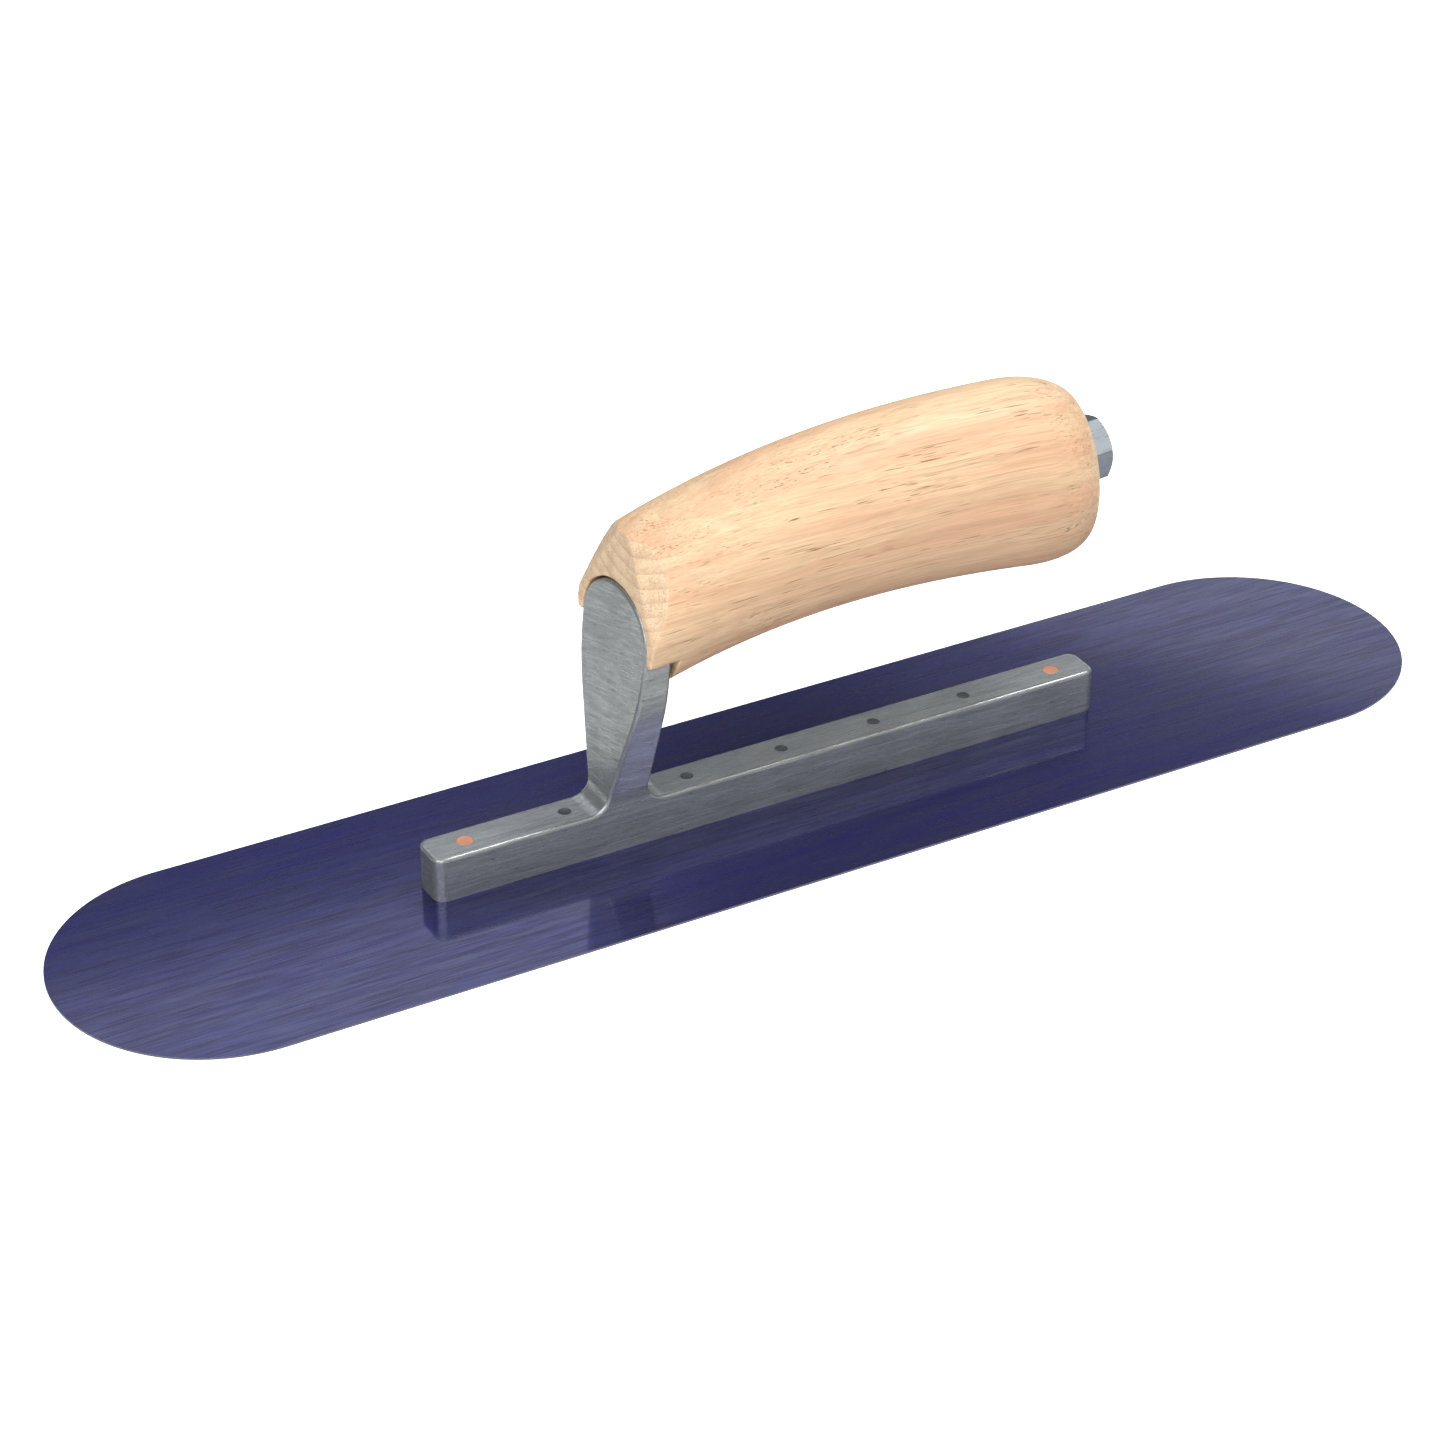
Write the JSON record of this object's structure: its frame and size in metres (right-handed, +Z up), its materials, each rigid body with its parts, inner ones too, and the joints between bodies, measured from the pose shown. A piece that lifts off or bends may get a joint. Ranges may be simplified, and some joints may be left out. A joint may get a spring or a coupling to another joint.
{
  "type": "steel finishing trowel",
  "caption": "Hand trowel for finishing concrete: a thin round-ended steel blade riveted to a cast bar and post, with an oval wooden handle held by a hex bolt.",
  "frame": {"origin": "centre of the blade's underside, on the surface that the trowel rests on", "axes": "+X along the blade towards the handle's butt, +Y across the blade, +Z up from the blade"},
  "size_m": [0.355, 0.0764, 0.093],
  "materials": {
    "blued_steel": "blued spring steel with fine lengthwise brushing, semi-gloss",
    "cast_aluminium": "linished aluminium casting, satin",
    "wood": "pale hardwood with short brown pores, sanded and clear-sealed",
    "zinc_steel": "bright zinc-plated steel",
    "spring_steel": "zinc-plated spring steel, satin",
    "copper": "copper, ground flush",
    "rivet_steel": "plain steel, ground flush"
  },
  "bodies": {
    "root": {"blade": "blued_steel", "mounting": "cast_aluminium", "handle": "wood", "handle_bolt": "zinc_steel", "flat_washer": "zinc_steel", "lock_washer": "spring_steel", "end_rivet_front": "copper", "end_rivet_rear": "copper", "blade_rivet_1": "rivet_steel", "blade_rivet_2": "rivet_steel", "blade_rivet_3": "rivet_steel", "blade_rivet_4": "rivet_steel", "blade_rivet_5": "rivet_steel"}
  },
  "joints": []
}
